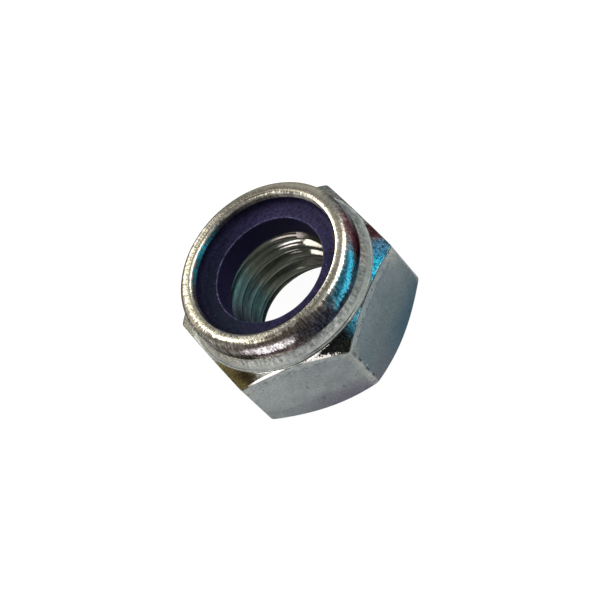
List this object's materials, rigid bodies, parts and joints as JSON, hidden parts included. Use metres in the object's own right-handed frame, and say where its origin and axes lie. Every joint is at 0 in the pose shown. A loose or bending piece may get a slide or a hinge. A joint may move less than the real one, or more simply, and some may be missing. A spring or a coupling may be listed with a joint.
{
  "type": "nylon insert lock nut",
  "caption": "Hexagon lock nut with a threaded steel body and a rolled collar that holds a nylon ring over the thread.",
  "frame": {"origin": "centre of the bearing face, on the thread's axis", "axes": "+Z along the thread from the bearing face to the insert, +X through the middle of a flat, +Y through a corner"},
  "size_m": [0.019, 0.0218, 0.012],
  "materials": {
    "zinc_plated_steel": "zinc plated, satin on the hexagon and polished on the roll",
    "nylon": "dark violet, slightly glossy"
  },
  "bodies": {
    "root": {"nut_body": "zinc_plated_steel", "nylon_insert": "nylon"}
  },
  "joints": []
}
